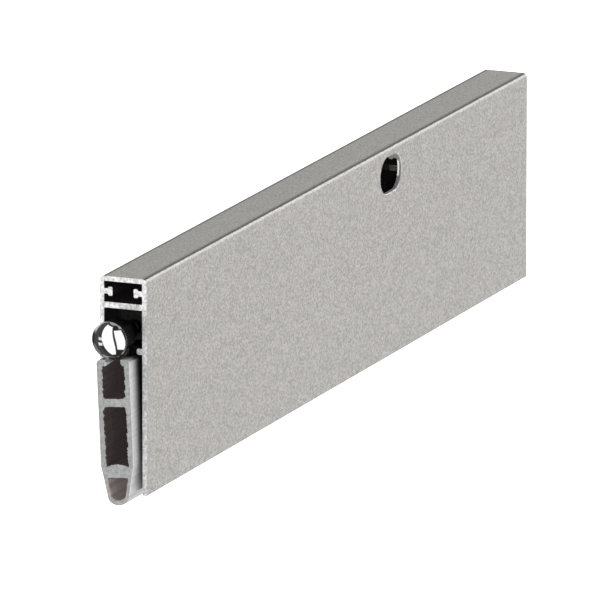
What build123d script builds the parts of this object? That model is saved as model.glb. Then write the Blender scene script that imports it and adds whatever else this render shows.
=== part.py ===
from build123d import *

import os
from math import radians, sqrt, tan

# Automatic door bottom seal, fixed to the face of a door. Millimetres.
# Origin: axis of the fixing hole, on the face that lies against the door.
# +X runs along the seal away from the push button, +Y points into the door, +Z is up.
# The room side, with the long front wall, looks towards -Y.

# How far a cutting shape runs past what it cuts, the largest rounding as a share of the wall it rounds,
# and how close two points lie that count as one
overrun = 1.0
round_share = 0.45
same_point = 0.001

# Case: a cut length of one aluminium extrusion
case_length = 215.0
case_height = 46.5
case_depth = 10.6
side_wall = 1.0
top_wall = 1.05
partition = 1.25
channel_height = 4.45
chamber_height = 8.15
rib_height = 1.3
rib_reach = 1.25
rib_round = 0.45
back_wall_below_rib = 3.8
outer_round = 1.0
foot_round = 0.35

# Hooks in the top channel, T-shaped in section, one on each wall
hook_stem = 1.15
hook_head_height = 1.9
hook_head = 1.0
hook_reach = 1.9
hook_round = 0.3
hook_below_ceiling = 1.2

# Fixing hole in the back wall, and the long hole in front of it that lets the screw and the driver in
fixing_hole_radius = 2.25
driver_hole_height = 8.1
driver_hole_length = 12.2
hole_below_top = 6.0
hole_margin = 6.95

# Angle between the middle of a hexagon's side and its corner
half_side = 30

# Push button: a hexagonal head with a round domed end, screwed on the push rod. The turn is that of a corner,
# from the room side upwards
head_flats = 6.58
head_turn = 44.0
head_front = 6.4
head_back = 0.8
head_play = 0.12
head_chamfer = 0.35
dome_edge_radius = 3.95
dome_edge_length = 1.0
dome_radius = 5.0
rod_in_head = 4.2
thread_room = 0.3
thread_play = 0.03
nut_flats = 5.5
nut_height = 1.8

# Push rod and how far it goes in
rod_radius = 1.5
rod_play = 0.08
rod_to_driver = 0.5
rod_tail = 4.0
rod_chamfer = 0.3
stroke = 5.0

# Moulded blocks in the chamber, in order from the button: a guide, then a slider and an anchor per spring
block_play = 0.1
slider_play = 0.2
block_chamfer = 0.6
guide_length = 6.0
slider_length = 8.0
anchor_length = 6.0
nut_to_guide = 1.0
guide_to_slider = 3.0
anchor_to_slider = 2.0
tail_length = 15.0
spring_count = 2

# Leaf springs: flat strips, bowed a little downwards while the seal is up
leaf_thickness = 0.4
leaf_bow = 0.8
leaf_below_rod = 0.3
leaf_in_slider = 2.5
leaf_in_anchor = 3.0
slot_play = 0.05

# Countersunk screws that hold the fixed blocks, through the back wall
screw_radius = 1.25
screw_head_radius = 2.2
screw_length = 6.5
screw_play = 0.03
screw_above_rod = 0.55
socket_flats = 1.5
socket_depth = 0.8

# Spring pins that hold the sliders on the rod
pin_radius = 0.75
pin_play = 0.02

# Saddles and rivets that hang the carrier from the middle of the springs
saddle_length = 10.0
saddle_base = 0.8
saddle_flange = 0.4
saddle_flange_height = 0.5
saddle_play = 0.1
saddle_to_rib = 0.25
seat_gap = 0.05
rivet_radius = 0.9
rivet_head_radius = 1.7
rivet_head_height = 0.55
rivet_in_neck = 1.8

# Carrier: the extruded bar that the seal hangs on
neck_width = 2.5
carrier_web = 1.4
carrier_flange = 1.2
carrier_play = 0.2
carrier_inset = 6.0

# Seal: one soft extrusion with a slotted top, a hollow middle and a thin rounded foot
seal_to_wall = 1.12
seal_height = 32.0
seal_below_rib = 0.15
seal_wall = 1.1
lip_height = 1.5
mouth_width = 2.9
top_round = 0.8
top_chamber_height = 6.95
upper_web = 1.95
floor_crown = 0.55
lower_web = 2.6
foot_height = 6.0
foot_width = 5.4
foot_wall = 0.75
foot_bottom = 1.2
foot_taper = 0.15
shoulder_round = 3.0
chamber_round = 0.5

# Button end of the seal: how far its middle stands out at the top and at the bottom, and how far its cut
# is turned so that the door side stands out further than the room side
seal_out_top = 5.65
seal_out_bottom = 2.55
seal_cut_turn = 22.5

# Levels, from the axis of the fixing hole
top_z = hole_below_top
ceiling_z = top_z - top_wall
partition_top_z = ceiling_z - channel_height
partition_z = partition_top_z - partition
rib_top_z = partition_z - chamber_height
rib_z = rib_top_z - rib_height
back_bottom_z = rib_z - back_wall_below_rib
front_bottom_z = top_z - case_height

# Depths, from the door face
back_inner_y = -side_wall
front_inner_y = side_wall - case_depth
middle_y = -case_depth / 2

# Widths that fit between the walls and between the ribs
seal_width = case_depth - 2 * (side_wall + seal_to_wall)
saddle_half = case_depth / 2 - side_wall - rib_reach - saddle_to_rib
leaf_width = 2 * (saddle_half - saddle_flange - saddle_play)

# Axis of the rod: the head clears the back wall, and the rod clears the driver
head_radius = head_flats / sqrt(3)
rod_y = back_inner_y - head_play - head_radius
rod_z = -(driver_hole_height / 2 + rod_to_driver + rod_radius)

# Places along the case, counted from its button end
nut_end = nut_height - head_back
guide_start = nut_end + stroke + nut_to_guide
first_slider = guide_start + guide_length + guide_to_slider
blocks = spring_count * (slider_length + anchor_length) + (spring_count - 1) * anchor_to_slider
spring_span = (case_length - first_slider - blocks - tail_length) / spring_count
pitch = slider_length + spring_span + anchor_length + anchor_to_slider
last_slider = first_slider + (spring_count - 1) * pitch
hole_from_end = last_slider + slider_length + stroke + driver_hole_length / 2 + hole_margin
rod_end = last_slider + pitch - anchor_to_slider + rod_tail

# Button end of the case along X
near_end = -hole_from_end

# Levels of the springs and of what hangs on them
leaf_top_z = rod_z - rod_radius - leaf_below_rod
bow_bottom_z = leaf_top_z - leaf_thickness - leaf_bow
saddle_top_z = bow_bottom_z - seat_gap
neck_top_z = saddle_top_z - saddle_base
seal_top_z = rib_z - seal_below_rib
screw_z = rod_z + rod_radius + screw_above_rod + screw_radius


def area(y0, y1, z0, z1):
    """Rectangle in the section plane, between two depths and two levels."""
    return Pos((y0 + y1) / 2, (z0 + z1) / 2) * Rectangle(abs(y1 - y0), abs(z1 - z0))


def along(section, start, end):
    """Extrude a section along the case, between two places counted from the button end."""
    return extrude(Plane.YZ.offset(near_end + start) * section, end - start)


def rounded(section, radius, *corners):
    """Round the corners of a section that lie at the given (depth, level) points."""
    points = [Vector(y, z) for y, z in corners]

    def is_corner(vertex):
        return any((Vector(vertex.X, vertex.Y) - point).length < same_point for point in points)

    return fillet([v for v in section.vertices() if is_corner(v)], radius)


def across(section, y0, y1, place, z):
    """Extrude a section along Y, between two depths, at a place along the case and a level."""
    axis = Plane(origin=(near_end + place, y0, z), x_dir=(1, 0, 0), z_dir=(0, y1 - y0, 0))
    return extrude(axis * section, abs(y1 - y0))


def upright(radius, place, z0, z1):
    """Cylinder along Z in the middle of the case, between two levels."""
    return extrude(Plane.XY.offset(z0) * Pos(near_end + place, middle_y) * Circle(radius), z1 - z0)


def rod_section(radius):
    """Circle about the rod's axis."""
    return Pos(rod_y, rod_z) * Circle(radius)


def hook(wall_y, inward):
    """Section of one hook: a stem from the wall, and a taller head with rounded edges."""
    middle = ceiling_z - hook_below_ceiling - hook_head_height / 2
    tip = wall_y + inward * hook_reach
    neck = tip - inward * hook_head
    head = area(neck, tip, middle - hook_head_height / 2, middle + hook_head_height / 2)
    head = fillet(head.vertices(), min(hook_round, round_share * hook_head))
    return head + area(wall_y, neck + inward * hook_round, middle - hook_stem / 2, middle + hook_stem / 2)


def rib(wall_y, inward):
    """Section of one rib under the chamber, with a rounded edge."""
    tip = wall_y + inward * rib_reach
    section = area(wall_y, tip, rib_z, rib_top_z)
    return rounded(section, min(rib_round, round_share * rib_height), (tip, rib_z), (tip, rib_top_z))


def case_section():
    """Section of the case: a box with a partition, a long front wall and a short back wall, open below."""
    front = area(-case_depth, front_inner_y, front_bottom_z, top_z)
    back = area(back_inner_y, 0, back_bottom_z, top_z)
    shell = front + back + area(-case_depth, 0, ceiling_z, top_z)
    shell = rounded(shell, min(outer_round, side_wall, top_wall), (-case_depth, top_z), (0, top_z))
    feet = [(-case_depth, front_bottom_z), (front_inner_y, front_bottom_z)]
    feet += [(0, back_bottom_z), (back_inner_y, back_bottom_z)]
    shell = rounded(shell, min(foot_round, round_share * side_wall), *feet)
    shell += area(front_inner_y, back_inner_y, partition_z, partition_top_z)
    for wall_y, inward in ((back_inner_y, -1), (front_inner_y, 1)):
        shell += hook(wall_y, inward) + rib(wall_y, inward)
    return shell


def countersunk(play):
    """Countersunk screw shape along Y, its head flush with the door face."""
    cone = screw_head_radius - screw_radius
    half = Polyline(
        (0, 0), (screw_head_radius + play, 0), (screw_radius + play, -cone),
        (screw_radius + play, -screw_length), (0, -screw_length), close=True,
    )
    return revolve(make_face(half), Axis.Y)


def case():
    """The extrusion, drilled for the fixing screw, its driver and the screws that hold the blocks."""
    body = along(case_section(), 0, case_length)
    body -= across(Circle(fixing_hole_radius), 0, -case_depth, hole_from_end, 0)
    driver_hole = SlotOverall(driver_hole_length, driver_hole_height)
    body -= across(driver_hole, back_inner_y, -case_depth, hole_from_end, 0)
    for place in fixed_blocks():
        body -= Pos(near_end + place, 0, screw_z) * countersunk(screw_play)
    return body


def slider_start(n):
    """Where slider n starts, counted from the button end."""
    return first_slider + n * pitch


def anchor_start(n):
    """Where anchor n starts, counted from the button end."""
    return slider_start(n) + slider_length + spring_span


def fixed_blocks():
    """Middles of the blocks that are screwed to the case."""
    anchors = [anchor_start(n) + anchor_length / 2 for n in range(spring_count)]
    return [guide_start + guide_length / 2] + anchors


def block(start, length, play):
    """Block that fills the chamber, with chamfered edges, bored for the rod."""
    section = area(front_inner_y + play, back_inner_y - play, rib_top_z + play, partition_z - play)
    section = chamfer(section.vertices(), block_chamfer)
    return along(section - rod_section(rod_radius + rod_play), start, start + length)


def leaf_slot(start, end):
    """Slot for the end of a leaf spring."""
    half = leaf_width / 2 + 2 * slot_play
    bottom = leaf_top_z - leaf_thickness - slot_play
    return along(area(middle_y - half, middle_y + half, bottom, leaf_top_z + slot_play), start, end)


def guide():
    """Block next to the button, which guides the rod."""
    middle = guide_start + guide_length / 2
    bore = Pos(near_end + middle, 0, screw_z) * countersunk(screw_play)
    return block(guide_start, guide_length, block_play) - bore


def anchor(n):
    """Fixed block that holds the far end of spring n."""
    start = anchor_start(n)
    bore = Pos(near_end + start + anchor_length / 2, 0, screw_z) * countersunk(screw_play)
    slot = leaf_slot(start, start + leaf_in_anchor + slot_play)
    return block(start, anchor_length, block_play) - slot - bore


def slider(n):
    """Block pinned to the rod, which pushes the near end of spring n. The slot runs right through it."""
    start = slider_start(n)
    body = block(start, slider_length, slider_play) - leaf_slot(start, start + slider_length)
    return body - pin_bore(n)


def pin_bore(n):
    """Bore for the pin of slider n, right across the chamber."""
    place = slider_start(n) + slider_length / 2
    return across(Circle(pin_radius + pin_play), back_inner_y, front_inner_y, place, rod_z)


def slider_pin(n):
    """Slotted spring pin through slider n and the rod."""
    place = slider_start(n) + slider_length / 2
    ends = (back_inner_y - slider_play - pin_play, front_inner_y + slider_play + pin_play)
    pin = across(Circle(pin_radius) - Circle(pin_radius / 2), *ends, place, rod_z)
    slot = Box(pin_radius, case_depth, pin_radius / 4, align=(Align.MIN, Align.MAX, Align.CENTER))
    return pin - Pos(near_end + place, 0, rod_z) * slot


def anchor_screw(place):
    """Countersunk socket screw through the back wall into a block."""
    screw = countersunk(0)
    socket = Plane.XZ * RegularPolygon(socket_flats / 2, 6, major_radius=False)
    return Pos(near_end + place, 0, screw_z) * (screw - extrude(socket, socket_depth))


def leaf_spring(n):
    """Strip with both ends held in the blocks and its middle bowed down, holed for the rivet."""
    near = slider_start(n) + slider_length
    far = anchor_start(n)
    middle = (near + far) / 2

    def edge(level):
        points = [(near, level), (middle, level - leaf_bow), (far, level)]
        return Spline(*points, tangents=[(1, 0)] * 3)

    low = leaf_top_z - leaf_thickness
    held_near = near - leaf_in_slider
    held_far = far + leaf_in_anchor
    outline = (
        edge(leaf_top_z) + edge(low)
        + Polyline((near, leaf_top_z), (held_near, leaf_top_z), (held_near, low), (near, low))
        + Polyline((far, leaf_top_z), (held_far, leaf_top_z), (held_far, low), (far, low))
    )
    side = Plane(origin=(near_end, middle_y, 0), x_dir=(1, 0, 0), z_dir=(0, -1, 0))
    strip = extrude(side * make_face(outline), leaf_width / 2, both=True)
    return strip - upright(rivet_radius + seat_gap, middle, bow_bottom_z - overrun, leaf_top_z)


def spring_middle(n):
    """Middle of spring n, where the carrier hangs."""
    return slider_start(n) + slider_length + spring_span / 2


def saddle(n):
    """Folded clip under spring n: a base on the carrier's neck, a low flange along each edge of the leaf."""
    inner = saddle_half - saddle_flange
    top = saddle_top_z + saddle_flange_height
    section = area(middle_y - saddle_half, middle_y + saddle_half, neck_top_z, top)
    section -= area(middle_y - inner, middle_y + inner, saddle_top_z, top)
    middle = spring_middle(n)
    clip = along(section, middle - saddle_length / 2, middle + saddle_length / 2)
    return clip - upright(rivet_radius + pin_play, middle, neck_top_z, saddle_top_z)


def rivet(n):
    """Round-headed rivet through spring n and its saddle into the carrier."""
    head_z = bow_bottom_z + leaf_thickness + seat_gap
    middle = spring_middle(n)
    dome = (rivet_head_radius**2 + rivet_head_height**2) / (2 * rivet_head_height)
    half = make_face(
        Polyline((0, rivet_head_height), (0, 0), (rivet_head_radius, 0))
        + RadiusArc((rivet_head_radius, 0), (0, rivet_head_height), -dome)
    )
    head = revolve(Plane.XZ * half, Axis.Z)
    return Pos(near_end + middle, middle_y, head_z) * head + upright(
        rivet_radius, middle, neck_top_z - rivet_in_neck, head_z
    )


def push_rod():
    """Straight round rod from inside the head to past the last anchor, cross-drilled for the pins."""
    rod = along(rod_section(rod_radius), -head_back - rod_in_head, rod_end)
    rod = chamfer(rod.edges().filter_by(GeomType.CIRCLE), rod_chamfer)
    for n in range(spring_count):
        rod -= pin_bore(n)
    return rod


def hexagon(flats, start, end, turn):
    """Hexagonal prism about the rod's axis."""
    section = Rot(0, 0, turn) * RegularPolygon(flats / 2, 6, major_radius=False)
    return along(Pos(rod_y, rod_z) * section, start, end)


def turned(profile):
    """Revolve a profile of (place along the case, radius) about the rod's axis."""
    axis_plane = Plane(origin=(near_end, rod_y, rod_z), x_dir=(1, 0, 0), z_dir=(0, -1, 0))
    return revolve(axis_plane * make_face(profile), Axis((near_end, rod_y, rod_z), (1, 0, 0)))


def push_button():
    """Hexagonal head with a round domed end and a chamfered back edge, bored from the back for the rod."""
    rise = dome_radius - sqrt(dome_radius**2 - dome_edge_radius**2)
    tip = -head_front - rise
    edge_back = dome_edge_length - head_front
    dome = turned(
        RadiusArc((tip, 0), (-head_front, dome_edge_radius), dome_radius)
        + Polyline((-head_front, dome_edge_radius), (edge_back, dome_edge_radius), (edge_back, 0), (tip, 0))
    )
    shank = turned(
        Polyline(
            (-head_front, 0), (-head_front, head_radius), (-head_back - head_chamfer, head_radius),
            (-head_back, head_radius - head_chamfer), (-head_back, 0), close=True,
        )
    )
    head = dome + (shank & hexagon(head_flats, -head_front, 0, -head_turn))
    return head - along(rod_section(rod_radius + thread_play), -head_back - rod_in_head - thread_room, 0)


def lock_nut():
    """Thin nut behind the head, chamfered on both sides."""
    corner = nut_flats / sqrt(3)
    slope = (corner - nut_flats / 2) * tan(radians(half_side))
    shape = turned(
        Polyline(
            (-head_back, 0), (-head_back, nut_flats / 2), (slope - head_back, corner),
            (nut_end - slope, corner), (nut_end, nut_flats / 2), (nut_end, 0), close=True,
        )
    )
    nut = shape & hexagon(nut_flats, -head_back, nut_end, 0)
    return nut - along(rod_section(rod_radius + thread_play), -head_back, nut_end)


def carrier_section():
    """Section of the carrier: an I in the seal's top chamber, with a neck that stands out of its mouth."""
    half = seal_width / 2 - seal_wall - carrier_play
    top = seal_top_z - lip_height - carrier_play
    bottom = seal_top_z - lip_height - top_chamber_height + carrier_play
    section = area(middle_y - half, middle_y + half, top - carrier_flange, top)
    section += area(middle_y - half, middle_y + half, bottom, bottom + carrier_flange)
    section += area(middle_y - carrier_web / 2, middle_y + carrier_web / 2, bottom, top)
    half_neck = neck_width / 2
    return section + area(middle_y - half_neck, middle_y + half_neck, top - carrier_flange, neck_top_z)


def carrier():
    """Aluminium bar, a little shorter than the case, drilled for the rivets."""
    bar = along(carrier_section(), carrier_inset, case_length - carrier_inset)
    hole_bottom_z = neck_top_z - rivet_in_neck - pin_play
    for n in range(spring_count):
        bar -= upright(rivet_radius + pin_play, spring_middle(n), hole_bottom_z, neck_top_z)
    return bar


def foot(half, waist, bottom):
    """Foot of the seal below a level: sides that draw in by the taper, and a round bottom that meets them."""
    norm = sqrt(1 + foot_taper**2)
    radius = (half - foot_taper * (waist - bottom)) / (norm - foot_taper)
    side = radius / norm
    level = bottom + radius - side * foot_taper
    return make_face(
        Polyline((side, level), (half, waist), (-half, waist), (-side, level))
        + ThreePointArc((-side, level), (0, bottom), (side, level))
    )


def seal_levels():
    """Levels below the seal's top: lips, upper web's top and bottom, lower web's top and bottom."""
    lips = -lip_height
    upper = lips - top_chamber_height
    roof = upper - upper_web
    waist = foot_height - seal_height
    return lips, upper, roof, waist + lower_web, waist


def seal_outline():
    """Outer outline of the seal: straight sides with rounded lips, drawn in below to a rounded foot."""
    half = seal_width / 2
    floor, waist = seal_levels()[-2:]
    body = rounded(area(-half, half, floor, 0), top_round, (-half, 0), (half, 0))
    narrow = foot_width / 2
    body += make_face(Polyline((-half, floor), (half, floor), (narrow, waist), (-narrow, waist), close=True))
    body += foot(narrow, waist, -seal_height)
    shoulders = [(side * half, floor) for side in (-1, 1)]
    return rounded(body, shoulder_round, *shoulders, (-narrow, waist), (narrow, waist))


def seal_section():
    """Section of the seal, from its top at level 0 downwards."""
    inner = seal_width / 2 - seal_wall
    lips, upper, roof, floor, waist = seal_levels()
    section = seal_outline() - area(-mouth_width / 2, mouth_width / 2, lips, 0)
    top_chamber = area(-inner, inner, upper, lips)
    section -= rounded(top_chamber, chamber_round, (-inner, upper), (inner, upper))
    lip_round = min(round_share * lip_height, 2 * round_share * (inner - mouth_width / 2))
    lip_edges = [(side * mouth_width / 2, z) for side in (-1, 1) for z in (0, lips)]
    section = rounded(section, lip_round, *lip_edges)
    middle = make_face(
        Polyline((-inner, floor), (-inner, roof), (inner, roof), (inner, floor))
        + ThreePointArc((inner, floor), (0, floor + floor_crown), (-inner, floor))
    )
    section -= rounded(middle, chamber_round, (-inner, roof), (inner, roof))
    return section - foot(foot_width / 2 - foot_wall, waist, foot_bottom - seal_height)


def seal():
    """The soft profile. Its button end stands out of the case and is cut at a slant, both down and across."""
    slant = (seal_out_top - seal_out_bottom) / seal_height
    turn = tan(radians(seal_cut_turn))
    start = -seal_out_top - turn * seal_width / 2 - overrun
    body = along(Pos(middle_y, seal_top_z) * seal_section(), start, case_length)
    cut = Plane(origin=(near_end - seal_out_top, middle_y, seal_top_z), z_dir=(1, turn, slant))
    return split(body, bisect_by=cut, keep=Keep.TOP)


parts = {
    "case": case(),
    "rod_guide": guide(),
    "push_rod": push_rod(),
    "lock_nut": lock_nut(),
    "push_button": push_button(),
    "carrier": carrier(),
    "seal": seal(),
}
for n in range(spring_count):
    parts[f"slider_{n + 1}"] = slider(n)
    parts[f"slider_pin_{n + 1}"] = slider_pin(n)
    parts[f"spring_anchor_{n + 1}"] = anchor(n)
    parts[f"leaf_spring_{n + 1}"] = leaf_spring(n)
    parts[f"saddle_{n + 1}"] = saddle(n)
    parts[f"rivet_{n + 1}"] = rivet(n)
for n, place in enumerate(fixed_blocks()):
    parts[f"block_screw_{n + 1}"] = anchor_screw(place)

os.makedirs("parts", exist_ok=True)
for name, shape in parts.items():
    export_step(shape, f"parts/{name}.step")
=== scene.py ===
"""Dressed scene of an automatic door bottom seal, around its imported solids. Metres, +Z up.

Sizes are typed in millimetres and turned into metres where a mesh is made. Sections are drawn in (y, z).
"""
import logging
import math
from collections.abc import Callable, Iterable, Sequence
from dataclasses import dataclass, field, replace
from enum import Enum, IntEnum

import bmesh
import bpy
from mathutils import Matrix, Vector, noise


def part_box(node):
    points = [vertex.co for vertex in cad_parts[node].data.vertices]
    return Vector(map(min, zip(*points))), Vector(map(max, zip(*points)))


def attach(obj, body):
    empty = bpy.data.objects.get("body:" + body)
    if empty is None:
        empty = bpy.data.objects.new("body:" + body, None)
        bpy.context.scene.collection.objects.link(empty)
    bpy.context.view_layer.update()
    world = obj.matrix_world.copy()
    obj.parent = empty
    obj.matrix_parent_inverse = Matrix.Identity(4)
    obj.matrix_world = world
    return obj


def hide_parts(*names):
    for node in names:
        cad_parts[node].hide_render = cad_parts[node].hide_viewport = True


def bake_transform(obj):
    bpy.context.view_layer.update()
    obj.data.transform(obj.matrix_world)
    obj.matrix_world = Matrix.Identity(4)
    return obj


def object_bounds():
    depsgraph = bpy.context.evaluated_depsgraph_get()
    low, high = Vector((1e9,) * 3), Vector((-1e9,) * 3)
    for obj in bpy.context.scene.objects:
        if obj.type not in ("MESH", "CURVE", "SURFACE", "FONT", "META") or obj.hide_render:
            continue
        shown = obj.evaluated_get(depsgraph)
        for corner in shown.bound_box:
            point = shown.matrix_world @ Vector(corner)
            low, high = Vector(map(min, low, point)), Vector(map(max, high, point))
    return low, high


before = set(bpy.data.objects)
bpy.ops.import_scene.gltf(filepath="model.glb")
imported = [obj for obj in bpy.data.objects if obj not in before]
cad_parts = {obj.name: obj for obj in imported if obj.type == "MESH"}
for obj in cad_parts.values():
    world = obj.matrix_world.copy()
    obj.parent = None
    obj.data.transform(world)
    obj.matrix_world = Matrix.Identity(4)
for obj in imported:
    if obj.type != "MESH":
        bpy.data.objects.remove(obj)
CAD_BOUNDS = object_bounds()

MM = 0.001
WELD = 1e-5
SMALL = 0.01
SOFT_SHARP = 40.0
BLOCK_SCREWS = ("block_screw_1", "block_screw_2", "block_screw_3")
BLACK = (0.0, 0.0, 0.0)
WHITE = (1.0, 1.0, 1.0)
ORIGIN = (0.0, 0.0, 0.0)
# Colours of the painted reflection on the case's rounded edges: a painted dark line and a painted highlight.
PAINTED_EDGE_REFLECTION_DARK = (0.05, 0.045, 0.045)
PAINTED_EDGE_HIGHLIGHT = (0.95, 0.94, 0.92)
# How much of a face's normal lies along an axis, from a face that is a little turned to it to one square to it.
ASLANT, HALF_WAY, MOSTLY, NEARLY, SQUARE = 0.3, 0.5, 0.7, 0.8, 0.9
# Range that most of a noise's values are in.
NOISE_RANGE = (0.3, 0.7)
# Size of the grain's patches, as a share of the fine grain's scale.
PATCH_SCALE = 0.12
# Where the painted shade on the case's flat top starts towards its back and its front rim, and where it is darkest.
BACK_RIM, FRONT_RIM = (-1.55, -1.3), (-9.15, -9.55)
# Lowest and highest normal of the flat top, the painted dark reflection line and the painted highlight line, each
# with its softness.
FLAT_BAND, PAINTED_DARK_BAND, PAINTED_BRIGHT_BAND = (0.8, 1.1, 0.05), (0.80, 0.996, 0.004), (0.36, 0.70, 0.06)
LOG = logging.getLogger("door_seal")

Point = tuple[float, float]
Loop = list[Point]
Colour = tuple[float, float, float]


class Body(Enum):
    """Moving bodies of the seal."""

    CASE = "case"
    ROD = "rod"
    BUTTON = "button"
    SEAL = "seal"


class Slot(Enum):
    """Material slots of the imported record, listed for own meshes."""

    ANODISED = "anodised_aluminium"
    SILICONE = "silicone"
    CHROME = "chrome"
    STEEL = "steel"
    SPRING = "spring_steel"


class CaseFace(IntEnum):
    """Materials of the case's faces, by their number on the mesh."""

    OUTSIDE = 0
    CUT = 1
    BORE = 2
    INSIDE = 3
    BURR = 4
    DEEP_BORE = 5


class SealFace(IntEnum):
    """Materials of the soft profile's faces, by their number on the mesh."""

    SKIN = 0
    CUT = 1
    HOLLOW = 2
    SIDE = 3
    FOOT_HOLLOW = 4
    LIP = 5


class Axis(Enum):
    """Direction that a turned shape is made along, as a rotation from +Z."""

    X = "X"
    Y = "Y"
    Z = "Z"

    def matrix(self) -> Matrix:
        """Rotation that carries +Z to this direction."""
        if self is Axis.X:
            return Matrix.Rotation(math.pi / 2, 4, "Y")
        if self is Axis.Y:
            return Matrix.Rotation(-math.pi / 2, 4, "X")
        return Matrix.Identity(4)


@dataclass(frozen=True)
class Corner:
    """A corner of a section, rounded to a radius."""

    y: float
    z: float
    radius: float = 0.0


def outline(corners: Sequence[Corner], steps: int = 6) -> Loop:
    """Draw a closed outline with rounded corners.

    Args:
        corners: the corners in order.
        steps: straight pieces in each rounding.

    Returns:
        The points of the outline.
    """
    points: Loop = []
    count = len(corners)
    for i, corner in enumerate(corners):
        here = Vector((corner.y, corner.z))
        if corner.radius <= 0:
            points.append((here.x, here.y))
            continue
        before = corners[i - 1]
        after = corners[(i + 1) % count]
        back = (Vector((before.y, before.z)) - here).normalized()
        ahead = (Vector((after.y, after.z)) - here).normalized()
        half = back.angle(ahead) / 2
        centre = here + (back + ahead).normalized() * (corner.radius / math.sin(half))
        reach = corner.radius / math.tan(half)
        start = here + back * reach - centre
        end = here + ahead * reach - centre
        for k in range(steps + 1):
            turn = start.angle_signed(end) * k / steps
            spoke = Matrix.Rotation(-turn, 2) @ start
            points.append((centre.x + spoke.x, centre.y + spoke.y))
    return points


def arc(centre: Point, radius: float, start: float, end: float, steps: int) -> Loop:
    """Points on an arc about a centre, between two angles in degrees."""
    angles = [math.radians(start + (end - start) * k / steps) for k in range(steps + 1)]
    return [(centre[0] + radius * math.cos(a), centre[1] + radius * math.sin(a)) for a in angles]


def finely(loop: Loop, longest: float) -> Loop:
    """Divide an outline's long edges.

    Args:
        loop: the closed outline.
        longest: longest edge that stays whole.

    Returns:
        The outline with more points.
    """
    points: Loop = []
    for here, after in zip(loop, loop[1:] + loop[:1]):
        parts = max(1, math.ceil(math.dist(here, after) / longest))
        for k in range(parts):
            t = k / parts
            points.append((here[0] + (after[0] - here[0]) * t, here[1] + (after[1] - here[1]) * t))
    return points


def outward(loop: Loop) -> list[Vector]:
    """Unit normals of an outline, which point out of the area that it encloses."""
    area = sum(a[0] * b[1] - b[0] * a[1] for a, b in zip(loop, loop[1:] + loop[:1]))
    side = 1 if area > 0 else -1
    normals = []
    for i, _ in enumerate(loop):
        before, after = loop[i - 1], loop[(i + 1) % len(loop)]
        normals.append(Vector((after[1] - before[1], before[0] - after[0])).normalized() * side)
    return normals


def bar(low: float, high: float, radius: float) -> Loop:
    """Profile of a plain round bar, to be turned."""
    return [(low, 0), (low, radius), (high, radius), (high, 0)]


def box_of(node: str) -> tuple[Vector, Vector]:
    """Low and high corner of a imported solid, in millimetres."""
    low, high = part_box(node)
    return low / MM, high / MM


def middle_of(node: str) -> Vector:
    """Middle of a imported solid's box, in millimetres."""
    low, high = box_of(node)
    return (low + high) / 2


def ring_faces(shape: bmesh.types.BMesh, rings: Sequence[Sequence[bmesh.types.BMVert]]) -> None:
    """Join closed rings of equal count, or single points, with faces."""
    sides = max(len(ring) for ring in rings)
    for first, second in zip(rings, rings[1:]):
        for k in range(sides):
            m = (k + 1) % sides
            corners = [first[k % len(first)], first[m % len(first)], second[m % len(second)], second[k % len(second)]]
            shape.faces.new(list(dict.fromkeys(corners)))


def new_object(name: str, mesh: bpy.types.Mesh) -> bpy.types.Object:
    """Put a mesh in the scene as an object at the origin."""
    piece = bpy.data.objects.new(name, mesh)
    bpy.context.scene.collection.objects.link(piece)
    return piece


def from_bmesh(name: str, shape: bmesh.types.BMesh) -> bpy.types.Object:
    """Close a bmesh's work and make an object of it, in metres, with its faces outwards."""
    bmesh.ops.remove_doubles(shape, verts=shape.verts, dist=WELD)
    bmesh.ops.recalc_face_normals(shape, faces=shape.faces)
    bmesh.ops.scale(shape, vec=(MM, MM, MM), verts=shape.verts)
    mesh = bpy.data.meshes.new(name)
    shape.to_mesh(mesh)
    shape.free()
    return new_object(name, mesh)


def swept(
    name: str,
    loops: Sequence[Loop],
    stations: Sequence[float],
    place: Callable[[int, int, int], tuple[float, float, float]] | None = None,
) -> bpy.types.Object:
    """Sweep a section along X and close its ends.

    Args:
        name: name of the piece.
        loops: outline of the section, then of its hollows.
        stations: places along X, in order.
        place: gives the point for a station's, a loop's and a point's number, where it isn't the plain one.

    Returns:
        The closed piece.
    """
    shape = bmesh.new()
    rings: list[list[list[bmesh.types.BMVert]]] = []
    for s, x in enumerate(stations):
        rings.append([])
        for n, loop in enumerate(loops):
            points = [place(s, n, i) if place else (x, *p) for i, p in enumerate(loop)]
            rings[-1].append([shape.verts.new(p) for p in points])
    for near, far in zip(rings, rings[1:]):
        for a, b in zip(near, far):
            for i, _ in enumerate(a):
                j = (i + 1) % len(a)
                shape.faces.new((a[i], a[j], b[j], b[i]))
    for ring in (rings[0], rings[-1]):
        edges = [shape.edges.get((v[i], v[(i + 1) % len(v)])) for v in ring for i, _ in enumerate(v)]
        bmesh.ops.triangle_fill(shape, use_beauty=True, use_dissolve=False, edges=edges)
    return from_bmesh(name, shape)


def turned(
    name: str,
    profile: Sequence[Point],
    axis: Axis,
    centre: Sequence[float],
    sides: int = 64,
    stretch: float = 0.0,
) -> bpy.types.Object:
    """Turn a profile about an axis.

    Args:
        name: name of the piece.
        profile: points of (place along the axis, radius). It is closed on the axis at both ends.
        axis: direction of the axis.
        centre: a point on the axis.
        sides: points in each ring.
        stretch: half of the length that pulls each ring into a slot along X.

    Returns:
        The closed piece.
    """
    shape = bmesh.new()
    rings = []
    angles = [2 * math.pi * (k + 0.5) / sides for k in range(sides)]
    for along, radius in profile:
        if radius <= 0:
            rings.append([shape.verts.new((0, 0, along))])
            continue
        rings.append([
            shape.verts.new((radius * math.cos(a) + math.copysign(stretch, math.cos(a)), radius * math.sin(a), along))
            for a in angles
        ])
    ring_faces(shape, rings)
    move = Matrix.Translation(Vector(centre)) @ axis.matrix()
    bmesh.ops.transform(shape, matrix=move, verts=shape.verts)
    return from_bmesh(name, shape)


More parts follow.
